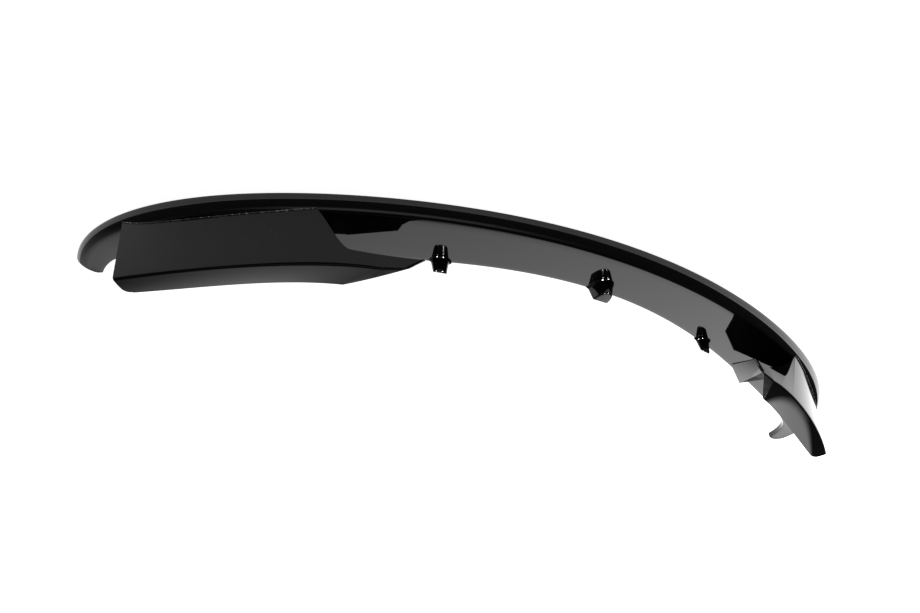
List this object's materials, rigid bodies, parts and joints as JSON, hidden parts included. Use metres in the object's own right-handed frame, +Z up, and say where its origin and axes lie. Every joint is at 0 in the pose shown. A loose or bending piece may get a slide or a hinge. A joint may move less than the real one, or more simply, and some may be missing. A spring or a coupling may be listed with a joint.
{
  "type": "front splitter lip",
  "caption": "Curved front splitter lip with a turned-down rim, raised mounting bosses on its inner edge and a raised, nosed winglet at each end.",
  "frame": {"origin": "middle of the bounding box, on the plane the lip rests on", "axes": "+Z up, -Y towards the front of the car, +X towards the car's left-hand winglet as modelled"},
  "size_m": [1.6052, 0.4458, 0.1242],
  "materials": {
    "blade_gloss": "high gloss black",
    "winglet_gloss": "high gloss black"
  },
  "bodies": {
    "root": {"blade": "blade_gloss", "winglet_left": "winglet_gloss", "winglet_right": "winglet_gloss"}
  },
  "joints": []
}
